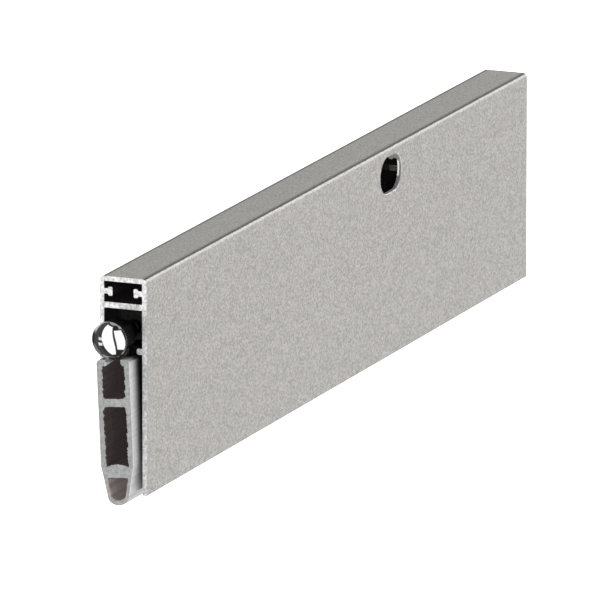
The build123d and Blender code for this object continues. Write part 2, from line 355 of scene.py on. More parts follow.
def bake(piece: bpy.types.Object) -> None:
    """Turn a piece's modifiers into plain mesh."""
    bpy.context.view_layer.update()
    graph = bpy.context.evaluated_depsgraph_get()
    mesh = bpy.data.meshes.new_from_object(piece.evaluated_get(graph), depsgraph=graph)
    piece.modifiers.clear()
    old, piece.data = piece.data, mesh
    mesh.name = piece.name
    if old.users == 0:
        bpy.data.meshes.remove(old)


def settle(piece: bpy.types.Object, sharp: float = 30.0) -> bpy.types.Object:
    """Turn a piece's modifiers into plain mesh and shade it: flat faces look flat, and only edges are sharp.

    Args:
        piece: the piece with its modifiers.
        sharp: angle from which an edge stays sharp, in degrees.

    Returns:
        The same piece.
    """
    bake(piece)
    piece.data.shade_smooth()
    piece.data.set_sharp_from_angle(angle=math.radians(sharp))
    modifier = piece.modifiers.new("weigh", "WEIGHTED_NORMAL")
    modifier.mode = "FACE_AREA"
    modifier.keep_sharp = True
    bake(piece)
    return piece


def cut(piece: bpy.types.Object, *tools: bpy.types.Object) -> None:
    """Cut tools out of a piece, and throw the tools away."""
    for tool in tools:
        modifier = piece.modifiers.new("cut", "BOOLEAN")
        modifier.operation = "DIFFERENCE"
        modifier.solver = "EXACT"
        modifier.object = tool
        bake(piece)
        bpy.data.objects.remove(tool)


def bevel(piece: bpy.types.Object, width: float, segments: int = 2, angle: float = 35.0) -> None:
    """Round a piece's edges.

    Args:
        piece: the piece.
        width: width of the rounding, in millimetres.
        segments: faces across the rounding.
        angle: angle from which an edge is rounded, in degrees.
    """
    modifier = piece.modifiers.new("round", "BEVEL")
    modifier.width = width * MM
    modifier.segments = segments
    modifier.limit_method = "ANGLE"
    modifier.angle_limit = math.radians(angle)
    settle(piece)


def dress(piece: bpy.types.Object, body: Body, slot: Slot, *looks: bpy.types.Material) -> None:
    """Give a piece its materials and its body, and report it."""
    piece.data.materials.clear()
    for look in looks:
        piece.data.materials.append(look)
    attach(piece, body.value)
    LOG.info("%s: %d faces, on %s", piece.name, len(piece.data.polygons), body.value)


def repaint(names: Iterable[str], look: bpy.types.Material) -> None:
    """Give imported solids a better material."""
    for name in names:
        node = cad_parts[name]
        node.data.materials.clear()
        node.data.materials.append(look)
        LOG.info("%s: solid kept, dressed in %s", name, look.name)


class Graph:
    """Short way to fill a node tree."""

    def __init__(self, tree: bpy.types.NodeTree) -> None:
        """Start with an empty tree."""
        self.tree = tree
        tree.nodes.clear()

    def add(self, kind: str, inputs: dict | None = None, **settings: object) -> bpy.types.Node:
        """Add a node.

        Args:
            kind: the node's type.
            inputs: for each input's name or number, a value or the socket that feeds it.
            settings: properties of the node.

        Returns:
            The node.
        """
        node = self.tree.nodes.new(kind)
        for name, value in settings.items():
            setattr(node, name, value)
        for key, value in (inputs or {}).items():
            if isinstance(value, bpy.types.NodeSocket):
                self.tree.links.new(value, node.inputs[key])
            else:
                node.inputs[key].default_value = value
        return node

    def place(self, kind: str = "Object") -> bpy.types.NodeSocket:
        """Coordinates of the shaded point."""
        return self.add("ShaderNodeTexCoord").outputs[kind]

    def split(self, vector: bpy.types.NodeSocket) -> bpy.types.bpy_prop_collection:
        """Parts of a vector, as the outputs X, Y and Z."""
        return self.add("ShaderNodeSeparateXYZ", {0: vector}).outputs

    def times(self, a: object, b: object) -> bpy.types.NodeSocket:
        """Product of two values."""
        return self.maths("MULTIPLY", a, b)

    def maths(self, operation: str, a: object, b: object = 0.0, clamp: bool = False) -> bpy.types.NodeSocket:
        """Add a Math node and return its result."""
        return self.add("ShaderNodeMath", {0: a, 1: b}, operation=operation, use_clamp=clamp).outputs[0]

    def ramp(
        self, value: object, low: object, high: object, start: object = 0.0, end: object = 1.0
    ) -> bpy.types.NodeSocket:
        """Map a value's range smoothly on another and return the result."""
        inputs = {"Value": value, "From Min": low, "From Max": high, "To Min": start, "To Max": end}
        node = self.add("ShaderNodeMapRange", inputs, interpolation_type="SMOOTHSTEP")
        return node.outputs["Result"]

    def mix(self, share: object, a: object, b: object) -> bpy.types.NodeSocket:
        """Mix two colours and return the result."""
        node = self.add("ShaderNodeMix", data_type="RGBA", blend_type="MIX")
        for socket, value in zip((node.inputs[0], node.inputs[6], node.inputs[7]), (share, a, b)):
            if isinstance(value, bpy.types.NodeSocket):
                self.tree.links.new(value, socket)
            else:
                socket.default_value = value
        return node.outputs[2]


def rgba(colour: Colour) -> tuple[float, float, float, float]:
    """Colour with full alpha."""
    return (*colour, 1.0)


def group(name: str, inputs: dict[str, float], outputs: Sequence[str]) -> tuple[Graph, bpy.types.NodeTree]:
    """Start a shader node group of plain numbers.

    Args:
        name: name of the group.
        inputs: names and first values of the inputs.
        outputs: names of the outputs.

    Returns:
        The graph to fill, and the group.
    """
    tree = bpy.data.node_groups.new(name, "ShaderNodeTree")
    for key, value in inputs.items():
        tree.interface.new_socket(key, in_out="INPUT", socket_type="NodeSocketFloat").default_value = value
    for key in outputs:
        tree.interface.new_socket(key, in_out="OUTPUT", socket_type="NodeSocketFloat")
    return Graph(tree), tree


def grain_group() -> bpy.types.NodeTree:
    """Sand-like grain: a fine and a coarse speckle as one value about 0.5."""
    graph, tree = group("grain", {"Scale": 2000.0, "Coarse": 0.3}, ("Speckle",))
    given = graph.add("NodeGroupInput").outputs
    where = graph.place()
    fine = graph.add(
        "ShaderNodeTexNoise", {"Vector": where, "Scale": given["Scale"], "Detail": 2.0, "Roughness": 0.7}
    ).outputs["Fac"]
    slower = graph.times(given["Scale"], PATCH_SCALE)
    patches = graph.add("ShaderNodeTexNoise", {"Vector": where, "Scale": slower, "Detail": 3.0}).outputs["Fac"]
    part = graph.times(graph.maths("SUBTRACT", patches, 0.5), given["Coarse"])
    speckle = graph.maths("ADD", graph.ramp(fine, *NOISE_RANGE), part, clamp=True)
    graph.add("NodeGroupOutput", {"Speckle": speckle})
    return tree


def lines_group() -> bpy.types.NodeTree:
    """Fine lines that the die or the rolls leave, drawn out along X."""
    graph, tree = group("drawn_lines", {"Scale": 1500.0, "Stretch": 0.01}, ("Lines",))
    given = graph.add("NodeGroupInput").outputs
    size = graph.add("ShaderNodeCombineXYZ", {"X": given["Stretch"], "Y": 1.0, "Z": 1.0}).outputs[0]
    drawn = graph.add("ShaderNodeVectorMath", {0: graph.place(), 1: size}, operation="MULTIPLY").outputs[0]
    lines = graph.add("ShaderNodeTexNoise", {"Vector": drawn, "Scale": given["Scale"], "Detail": 3.0})
    graph.add("NodeGroupOutput", {"Lines": lines.outputs["Fac"]})
    return tree


def wear_group() -> bpy.types.NodeTree:
    """Wear that shows where a face turns: near 1 on edges, broken up by noise."""
    graph, tree = group("edge_wear", {"Start": 0.52, "End": 0.62, "Scale": 900.0}, ("Wear",))
    given = graph.add("NodeGroupInput").outputs
    turn = graph.add("ShaderNodeNewGeometry").outputs["Pointiness"]
    edge = graph.ramp(turn, given["Start"], given["End"])
    spots = graph.add("ShaderNodeTexNoise", {"Vector": graph.place(), "Scale": given["Scale"]}).outputs["Fac"]
    broken = graph.ramp(spots, low=0.35, high=0.6, start=0.2)
    graph.add("NodeGroupOutput", {"Wear": graph.times(edge, broken)})
    return tree


def painted_edge_group() -> bpy.types.NodeTree:
    """Painted reflection lines along the case's rounded top edges: a dark line next to the top and a bright highlight
    below.

    A rounding's painted dark and bright lines go by the height of its normal. The rims of the flat top, given by the
    places across the case where each starts and is full, get painted shade too.
    """
    # Strength of the painted dark line, the painted highlight and the painted shade on the top's back and front rims.
    shares = {"Dark Share": 0.85, "Bright Share": 0.22, "Back Rim": 0.5, "Front Rim": 0.4}
    graph, tree = group("rounded_edge", shares, ("Dark", "Bright"))
    given = graph.add("NodeGroupInput").outputs
    up = graph.split(graph.place("Normal"))["Z"]
    across = graph.split(graph.place())["Y"]

    def band(low: float, high: float, soft: float) -> bpy.types.NodeSocket:
        """Value near 1 where the normal's height is between two levels."""
        rising = graph.ramp(up, low - soft, low + soft)
        return graph.times(rising, graph.ramp(up, high - soft, high + soft, 1.0, 0.0))

    # Painted shade on the flat top's back and front rims.
    back = graph.ramp(across, *(y * MM for y in BACK_RIM), end=given["Back Rim"])
    front = graph.ramp(across, *(y * MM for y in FRONT_RIM), end=given["Front Rim"])
    rims = graph.times(graph.maths("ADD", back, front), band(*FLAT_BAND))
    # Painted dark reflection line, and painted highlight line below it.
    dark = graph.maths("MAXIMUM", graph.times(band(*PAINTED_DARK_BAND), given["Dark Share"]), rims)
    bright = graph.times(band(*PAINTED_BRIGHT_BAND), given["Bright Share"])
    graph.add("NodeGroupOutput", {"Dark": dark, "Bright": bright})
    return tree


@dataclass
class Effects:
    """Effects that several finishes share."""

    grain: bpy.types.NodeTree = field(default_factory=grain_group)
    lines: bpy.types.NodeTree = field(default_factory=lines_group)
    wear: bpy.types.NodeTree = field(default_factory=wear_group)
    # Painted reflection lines and painted rim shade for the case's rounded edges.
    edge: bpy.types.NodeTree = field(default_factory=painted_edge_group)


@dataclass(frozen=True)
class PaintedShade:
    """Painted shade: darkening along an axis of the part, between two places in millimetres, that leans with the
    height.

    Past the last place it is gone again.
    """

    axis: Axis
    start: float
    end: float
    share: float = 0.97
    lean: float = 0.0
    last: float | None = None
    fade: float = 3.0

    def mask(self, graph: Graph) -> bpy.types.NodeSocket:
        """Share of the darkening at each point."""
        parts = graph.split(graph.place())
        along = graph.maths("ADD", parts[self.axis.value], graph.times(parts["Z"], self.lean))
        share = graph.ramp(along, self.start * MM, self.end * MM, 0.0, self.share)
        if self.last is None:
            return share
        return graph.times(share, graph.ramp(along, self.last * MM, (self.last + self.fade) * MM, 1.0, 0.0))


@dataclass(frozen=True)
class Finish:
    """Finish made of a base colour, a speckle, drawn lines and worn edges.

    Its glow is painted light: the light that is thrown about in a deep hollow, or a painted highlight. It can also
    carry painted reflection lines on rounded edges and painted shade.
    """

    name: str
    colour: Colour
    dark: Colour
    metallic: float
    roughness: float
    rough_spread: float = 0.1
    grain_scale: float = 2000.0
    lines_share: float = 0.0
    lines_scale: float = 1500.0
    bump: float = 0.1
    bump_depth: float = 0.00003
    wear_colour: Colour | None = None
    wear_share: float = 0.5
    specular: float = 0.5
    # Painted shade of the finish, if it has one.
    shade: PaintedShade | None = None
    glow: Colour | None = None
    # Whether the finish carries painted reflection lines on its rounded edges.
    rounded_edge: bool = False

    def material(self, effects: Effects) -> bpy.types.Material:
        """Build the material.

        Args:
            effects: the shared node groups.

        Returns:
            The material.
        """
        look = bpy.data.materials.new(self.name)
        look.use_nodes = True
        graph = Graph(look.node_tree)
        shader = graph.add("ShaderNodeBsdfPrincipled")
        shader.inputs["Metallic"].default_value = self.metallic
        shader.inputs["Specular IOR Level"].default_value = self.specular
        if self.glow:
            shader.inputs["Emission Color"].default_value = rgba(self.glow)
            shader.inputs["Emission Strength"].default_value = 1.0
        pattern = self.pattern(graph, effects)
        low, high = self.roughness - self.rough_spread / 2, self.roughness + self.rough_spread / 2
        rough = graph.ramp(pattern, 0.0, 1.0, high, low)
        raised = graph.add(
            "ShaderNodeBump", {"Strength": self.bump, "Distance": self.bump_depth, "Height": pattern}
        ).outputs["Normal"]
        colour = self.coloured(graph, effects, pattern)
        for key, value in (("Base Color", colour), ("Roughness", rough), ("Normal", raised)):
            graph.tree.links.new(value, shader.inputs[key])
        graph.add("ShaderNodeOutputMaterial", {"Surface": shader.outputs[0]})
        return look

    def coloured(self, graph: Graph, effects: Effects, pattern: bpy.types.NodeSocket) -> bpy.types.NodeSocket:
        """Colour of the finish with its wear, its painted reflection lines on rounded edges and its painted shade.

        Args:
            graph: the material's graph.
            effects: the shared node groups.
            pattern: the value that mixes the two base colours.

        Returns:
            The colour.
        """
        colour = graph.mix(pattern, rgba(self.dark), rgba(self.colour))
        if self.wear_colour:
            worn = graph.add("ShaderNodeGroup", node_tree=effects.wear).outputs["Wear"]
            colour = graph.mix(graph.times(worn, self.wear_share), colour, rgba(self.wear_colour))
        # Painted reflection: a dark line and a bright highlight line on rounded edges.
        if self.rounded_edge:
            painted_lines = graph.add("ShaderNodeGroup", node_tree=effects.edge).outputs
            colour = graph.mix(painted_lines["Dark"], colour, rgba(PAINTED_EDGE_REFLECTION_DARK))
            colour = graph.mix(painted_lines["Bright"], colour, rgba(PAINTED_EDGE_HIGHLIGHT))
        # Painted shade: the colour darkened towards black along an axis.
        if self.shade:
            colour = graph.mix(self.shade.mask(graph), colour, rgba(BLACK))
        return colour

    def pattern(self, graph: Graph, effects: Effects) -> bpy.types.NodeSocket:
        """Speckle and lines together, as one value from 0 to 1."""
        grain = graph.add("ShaderNodeGroup", {"Scale": self.grain_scale}, node_tree=effects.grain).outputs["Speckle"]
        if self.lines_share <= 0:
            return grain
        lines = graph.add("ShaderNodeGroup", {"Scale": self.lines_scale}, node_tree=effects.lines).outputs["Lines"]
        part = graph.times(graph.ramp(lines, *NOISE_RANGE), self.lines_share)
        return graph.maths("ADD", part, graph.times(grain, 1.0 - self.lines_share), clamp=True)


# Satin anodising, with painted reflection lines on its rounded edges.
ANODISED = Finish(
    "satin_anodising", (0.635, 0.614, 0.590), (0.405, 0.390, 0.373), 1.0, 0.5, 0.12,
    grain_scale=2300.0, bump=0.35, bump_depth=0.00002, rounded_edge=True,
)
# Sawn ends of the case, with painted shade that darkens them towards the bottom.
CUT_ALUMINIUM = Finish(
    "sawn_aluminium", (0.92, 0.92, 0.915), (0.46, 0.46, 0.455), 0.8, 0.45, 0.2, grain_scale=1600.0,
    lines_share=0.3, lines_scale=900.0, bump=0.4, shade=PaintedShade(Axis.Z, -9.0, -15.0, 0.3),
)
BORE_ALUMINIUM = Finish(
    "drilled_aluminium", (0.50, 0.49, 0.475), (0.30, 0.29, 0.285), 0.3, 0.75, 0.2, grain_scale=2200.0, bump=0.3,
)
# Painted shade: a darker copy of the drilled bore, for its part below the channel floor.
DEEP_BORE = replace(
    BORE_ALUMINIUM, name="drilled_aluminium_inside", colour=(0.15, 0.145, 0.14), dark=(0.04, 0.04, 0.04)
)
# Painted highlight: a bright, glowing band on the bore's wall at its inner end.
BURR = Finish(
    "drilling_burr", (0.66, 0.65, 0.63), (0.44, 0.43, 0.42), 0.3, 0.75, 0.2, bump=0.3, glow=(0.55, 0.54, 0.53),
)
# Painted shade: the case's inside walls near black, with a faint glow for the light thrown about in there.
PAINTED_SHADE_ALUMINIUM = Finish(
    "shaded_aluminium", (0.010, 0.010, 0.010), (0.005, 0.005, 0.005), 0.0, 0.8, 0.2, lines_share=0.5,
    specular=0.1, glow=(0.0032, 0.0025, 0.0027),
)
SKIN_SILICONE = Finish(
    "silicone_skin", (0.47, 0.475, 0.475), (0.40, 0.405, 0.405), 0.0, 0.5, 0.1, grain_scale=1200.0,
    lines_share=0.5, bump=0.15, specular=0.4,
)
CUT_SILICONE = Finish(
    "silicone_cut", (0.325, 0.328, 0.326), (0.235, 0.238, 0.238), 0.0, 0.65, 0.1, grain_scale=1300.0,
    bump=0.5, bump_depth=0.00005, specular=0.3,
)
# Painted shade: the profile's hollows dark, with a glow for the light thrown about in them.
PAINTED_SHADE_HOLLOW = Finish(
    "silicone_hollow", (0.045, 0.034, 0.034), (0.012, 0.009, 0.009), 0.0, 0.7, 0.15, grain_scale=700.0,
    lines_share=0.5, bump=0.5, bump_depth=0.00006, specular=0.15, glow=(0.024, 0.0185, 0.0195),
)
# Painted shade: the foot's hollow darker than the skin, with a glow for the light thrown about in it.
PAINTED_SHADE_FOOT = Finish(
    "silicone_foot_hollow", (0.26, 0.225, 0.215), (0.07, 0.06, 0.058), 0.0, 0.6, 0.15, grain_scale=900.0,
    lines_share=0.8, lines_scale=1100.0, bump=0.6, bump_depth=0.00008, specular=0.2, glow=(0.085, 0.072, 0.068),
)
# Room side of the profile: lighter than the skin as a painted highlight, then painted shade to black inside the case.
SIDE_PAINTED_HIGHLIGHT_AND_SHADE = Finish(
    "silicone_in_shade", (0.60, 0.60, 0.60), (0.48, 0.48, 0.485), 0.0, 0.6, 0.1, grain_scale=1200.0,
    lines_share=0.5, bump=0.15, specular=0.3, shade=PaintedShade(Axis.X, -141.2, -135.9, lean=0.16, last=-134.8),
)
# Painted shade on the tops of the lips, darkening to black under the button.
LIP_PAINTED_SHADE = Finish(
    "silicone_under_button", (0.43, 0.43, 0.43), (0.34, 0.34, 0.34), 0.0, 0.6, 0.1, grain_scale=1200.0,
    lines_share=0.5, bump=0.15, specular=0.3, shade=PaintedShade(Axis.X, -139.0, -136.0),
)
CHROME = Finish(
    "polished_chrome", (0.80, 0.80, 0.81), (0.74, 0.74, 0.75), 1.0, 0.06, 0.04, grain_scale=900.0,
    bump=0.02, bump_depth=0.00001,
)
# Painted shade: near-black steel for what sits in the shade of the case's mouth.
STEEL_PAINTED_SHADE = Finish(
    "burnished_steel", (0.004, 0.004, 0.004), (0.002, 0.002, 0.002), 0.0, 0.6, 0.15, grain_scale=1400.0,
    lines_share=0.3, bump=0.15, specular=0.04,
)
ZINC_STEEL = Finish(
    "zinc_plated_steel", (0.62, 0.63, 0.65), (0.40, 0.41, 0.43), 1.0, 0.32, 0.18, grain_scale=1400.0,
    lines_share=0.3, bump=0.15, wear_colour=(0.72, 0.72, 0.72),
)
# Zinc plated rod with painted shade, black near the case's button end.
ROD_STEEL_PAINTED_SHADE = replace(ZINC_STEEL, name="zinc_plated_rod", shade=PaintedShade(Axis.X, -126.5, -128.2))
SPRING_STEEL = Finish(
    "rolled_spring_steel", (0.40, 0.38, 0.36), (0.24, 0.23, 0.23), 1.0, 0.3, 0.15, grain_scale=1500.0,
    lines_share=0.7, bump=0.2, wear_colour=(0.55, 0.54, 0.52),
)
NYLON = Finish(
    "moulded_nylon", (0.02, 0.02, 0.021), (0.010, 0.010, 0.011), 0.0, 0.65, 0.2, grain_scale=1600.0,
    bump=0.3, bump_depth=0.00004, wear_colour=(0.05, 0.05, 0.05), specular=0.25,
)
# Extruded aluminium with painted shade, black near the case's button end.
MILL_ALUMINIUM_PAINTED_SHADE = Finish(
    "extruded_aluminium", (0.74, 0.74, 0.75), (0.50, 0.50, 0.51), 1.0, 0.34, 0.14, grain_scale=1800.0,
    lines_share=0.75, bump=0.2, shade=PaintedShade(Axis.X, -122.0, -125.0),
)


class Looks:
    """Materials of the finishes, each made once."""

    def __init__(self) -> None:
        """Build the shared effects."""
        self.effects = Effects()
        self.made: dict[str, bpy.types.Material] = {}

    def __getitem__(self, finish: Finish) -> bpy.types.Material:
        """Material of a finish."""
        if finish.name not in self.made:
            self.made[finish.name] = finish.material(self.effects)
        return self.made[finish.name]

    def all(self, *finishes: Finish) -> list[bpy.types.Material]:
        """Materials of several finishes."""
        return [self[finish] for finish in finishes]


def geometry_tree(name: str, inputs: dict[str, str]) -> tuple[Graph, bpy.types.bpy_prop_collection]:
    """Start a geometry tree that takes points, a part to put on them and its material.

    Args:
        name: name of the tree.
        inputs: kind of each further input, by its name.

    Returns:
        The graph to fill, and its inputs.
    """
    tree = bpy.data.node_groups.new(name, "GeometryNodeTree")
    for key, kind in {"Geometry": "Geometry", "Part": "Object", "Material": "Material", **inputs}.items():
        tree.interface.new_socket(key, in_out="INPUT", socket_type=f"NodeSocket{kind}")
    tree.interface.new_socket("Geometry", in_out="OUTPUT", socket_type="NodeSocketGeometry")
    graph = Graph(tree)
    return graph, graph.add("NodeGroupInput").outputs


def plant(
    graph: Graph, given: bpy.types.bpy_prop_collection, instance: bpy.types.NodeSocket, turn: object = ORIGIN
) -> bpy.types.NodeTree:
    """Finish a geometry tree: an instance on each point, made real and given its material.

    Args:
        graph: the graph of the tree.
        given: the tree's inputs.
        instance: what goes on the points.
        turn: rotation of each instance.

    Returns:
        The tree.
    """
    inputs = {"Points": given["Geometry"], "Instance": instance, "Rotation": turn}
    placed = graph.add("GeometryNodeInstanceOnPoints", inputs).outputs[0]
    real = graph.add("GeometryNodeRealizeInstances", {"Geometry": placed}).outputs[0]
    dressed = graph.add("GeometryNodeSetMaterial", {"Geometry": real, "Material": given["Material"]}).outputs[0]
    graph.add("NodeGroupOutput", {"Geometry": dressed})
    return graph.tree


def thread_tree() -> bpy.types.NodeTree:
    """Tree that puts a screw thread, and the part it is on, at each point that it is given."""
    kinds = {key: "Float" for key in ("Radius", "Pitch", "Turns", "Depth", "Start")}
    graph, given = geometry_tree("threaded_parts", {**kinds, "Turn": "Rotation"})
    spiral = {
        "Resolution": 24, "Rotations": given["Turns"], "Start Radius": given["Radius"],
        "End Radius": given["Radius"], "Height": graph.times(given["Pitch"], given["Turns"]),
    }
    helix = graph.add("GeometryNodeCurveSpiral", spiral).outputs[0]
    tooth = graph.add("GeometryNodeCurvePrimitiveCircle", {"Resolution": 4, "Radius": given["Depth"]}).outputs[0]
    sweep = {"Curve": helix, "Profile Curve": tooth, "Fill Caps": True}
    ridge = graph.add("GeometryNodeCurveToMesh", sweep).outputs[0]
    lift = graph.add("ShaderNodeCombineXYZ", {"Z": given["Start"]}).outputs[0]
    moved = graph.add("GeometryNodeTransform", {"Geometry": ridge, "Translation": lift}).outputs[0]
    part = graph.add("GeometryNodeObjectInfo", {"Object": given["Part"]}).outputs["Geometry"]
    both = graph.add("GeometryNodeJoinGeometry").inputs[0]
    graph.tree.links.new(part, both)
    graph.tree.links.new(moved, both)
    return plant(graph, given, both.node.outputs[0], given["Turn"])


def point_tree() -> bpy.types.NodeTree:
    """Tree that puts a part at each point that it is given."""
    graph, given = geometry_tree("parts_on_points", {})
    return plant(graph, given, graph.add("GeometryNodeObjectInfo", {"Object": given["Part"]}).outputs["Geometry"])


def grow(
    name: str,
    points: Sequence[Sequence[float]],
    tree: bpy.types.NodeTree,
    part: bpy.types.Object,
    look: bpy.types.Material,
    **inputs: object,
) -> bpy.types.Object:
    """Run a geometry tree on points and keep the result as a plain mesh.

    Args:
        name: name of the piece.
        points: the points, in millimetres.
        tree: the geometry tree.
        part: what goes on the points. It is thrown away after that.
        look: its material.
        inputs: values of the tree's other inputs, by name.

    Returns:
        The piece.
    """
    mesh = bpy.data.meshes.new(name)
    mesh.from_pydata([[c * MM for c in p] for p in points], [], [])
    piece = new_object(name, mesh)
    modifier = piece.modifiers.new("grow", "NODES")
    modifier.node_group = tree
    sockets = {s.name: s.identifier for s in tree.interface.items_tree if s.in_out == "INPUT"}
    for key, value in {"Part": part, "Material": look, **inputs}.items():
        modifier[sockets[key]] = value
    settle(piece, SOFT_SHARP)
    bpy.data.objects.remove(part)
    return piece


@dataclass
class Assembly:
    """What every sub-assembly is built with: the X of the case's button end and far end, and the materials."""

    near: float
    far: float
    looks: Looks


@dataclass
class Case(Assembly):
    """Cut length of the aluminium extrusion, drilled for its screws."""

    depth: float = 10.6
    top: float = 6.0
    wall: float = 1.0
    ceiling: float = 4.95
    floor: float = 0.5
    partition: float = -0.75
    rib_top: float = -8.9
    rib_bottom: float = -10.2
    rib_reach: float = 1.25
    rib_round: float = 0.45
    back_bottom: float = -14.0
    front_bottom: float = -40.5
    outer_round: float = 1.0
    foot_round: float = 0.35
    hook_middle: float = 2.8
    hook_stem: float = 0.575
    hook_head: float = 0.95
    hook_neck: float = 0.9
    hook_reach: float = 1.9
    hook_round: float = 0.3
    hole: float = 2.25
    driver_hole: float = 4.05
    driver_slot: float = 2.05
    rim: float = 0.16
    # Depth and half height of the band on the bore's wall, at its inner end, that gets a painted highlight.
    painted_highlight_band: float = 0.35
    painted_highlight_reach: float = 1.75
    screw_head: float = 2.23
    screw_bore: float = 1.28
    edge: float = 0.05
    slack: float = 0.02
    past: float = 1.0

    def outer(self) -> Loop:
        """Outline of the section."""
        d, w, r, k = -self.depth, self.wall, self.rib_reach, self.rib_round
        return outline([
            Corner(d, self.top, self.outer_round), Corner(0, self.top, self.outer_round),
            Corner(0, self.back_bottom, self.foot_round), Corner(-w, self.back_bottom, self.foot_round),
            Corner(-w, self.rib_bottom), Corner(-w - r, self.rib_bottom, k), Corner(-w - r, self.rib_top, k),
            Corner(-w, self.rib_top), Corner(-w, self.partition), Corner(d + w, self.partition),
            Corner(d + w, self.rib_top), Corner(d + w + r, self.rib_top, k),
            Corner(d + w + r, self.rib_bottom, k), Corner(d + w, self.rib_bottom),
            Corner(d + w, self.front_bottom, self.foot_round), Corner(d, self.front_bottom, self.foot_round),
        ], steps=12)

    def channel(self) -> Loop:
        """Outline of the top channel, with a hook on each wall."""
        half: list[Corner] = []
        for level, out in ((self.hook_stem, 0.0), (self.hook_stem, self.hook_neck), (self.hook_head, self.hook_neck),
                           (self.hook_head, self.hook_reach)):
            rounding = self.hook_round if level == self.hook_head else 0.0
            half.append(Corner(out, level, rounding))
        hook = half + [Corner(c.y, -c.z, c.radius) for c in reversed(half)]
        middle, w = self.hook_middle, self.wall
        back = [Corner(-w - c.y, middle + c.z, c.radius) for c in hook]
        front = [Corner(w - self.depth + c.y, middle + c.z, c.radius) for c in reversed(hook)]
        return outline(
            [Corner(-w, self.ceiling), *back, Corner(-w, self.floor), Corner(w - self.depth, self.floor), *front,
             Corner(w - self.depth, self.ceiling)]
        )

    def drills(self, screws: Sequence[Vector]) -> list[bpy.types.Object]:
        """Shapes that cut the holes: the long one for the driver, the fixing hole, and one for each block screw."""
        r, front, wall, past = self.driver_hole, -self.depth, self.wall, self.past
        wide = [
            (front - past, 0), (front - past, r + self.rim), (front, r + self.rim), (front + self.rim, r),
            (front + wall - self.painted_highlight_band, r), (front + wall, r), (front + wall + self.hook_reach, r), (-wall, r),
            (-wall, 0),
        ]
        shapes = [
            turned("drill", wide, Axis.Y, ORIGIN, sides=96, stretch=self.driver_slot),
            turned("drill", bar(-2 * wall, past, self.hole), Axis.Y, ORIGIN),
        ]
        slope = self.screw_head - self.screw_bore
        for place in screws:
            sunk = [(-2 * wall, 0), (-2 * wall, self.screw_bore), (-slope, self.screw_bore), (0, self.screw_head),
                    (past, self.screw_head), (past, 0)]
            shapes.append(turned("drill", sunk, Axis.Y, (place.x, 0, place.z), sides=48))
        return shapes

    def build(self, screws: Sequence[Vector]) -> None:
        """Make the case and dress it.

        Args:
            screws: middles of the block screws' heads.
        """
        piece = swept("case_shell", [self.outer(), self.channel()], [self.near, self.far])
        cut(piece, *self.drills(screws))
        bevel(piece, self.edge)
        faces = self.looks.all(ANODISED, CUT_ALUMINIUM, BORE_ALUMINIUM, PAINTED_SHADE_ALUMINIUM, BURR, DEEP_BORE)
        dress(piece, Body.CASE, Slot.ANODISED, *faces)
        for face in piece.data.polygons:
            face.material_index = self.zone(face.center / MM, face.normal)
        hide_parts("case")

    def zone(self, place: Vector, normal: Vector) -> CaseFace:
        """Which of the case's materials a face gets.

        Args:
            place: middle of the face.
            normal: its direction.

        Returns:
            The material's number.
        """
        if min(place.x - self.near, self.far - place.x) < 2 * self.edge and abs(normal.x) > ASLANT:
            return CaseFace.CUT
        out = math.hypot(max(0.0, abs(place.x) - self.driver_slot), place.z)
        depth = place.y + self.depth
        within = self.wall - self.slack < depth < self.depth - self.wall + self.slack
        drilled = out < self.driver_hole + 1.5 * self.rim and abs(normal.y) < SQUARE
        if drilled and not within:
            if depth < self.rim:
                return CaseFace.CUT
            # Painted highlight on the bore's wall near its inner end.
            painted_highlight_band = depth > self.wall - self.painted_highlight_band and abs(place.z) < self.painted_highlight_reach
            return CaseFace.BURR if painted_highlight_band else CaseFace.BORE
        if drilled and out < self.driver_hole + self.edge and depth < self.wall + self.hook_reach:
            # Below the channel floor the bore gets painted shade.
            return CaseFace.BORE if place.z > self.floor + self.edge else CaseFace.DEEP_BORE
        # Walls inside the case get painted shade.
        if within and self.rib_bottom - 2 * self.edge < place.z < self.ceiling + self.slack:
            return CaseFace.INSIDE
        return CaseFace.OUTSIDE


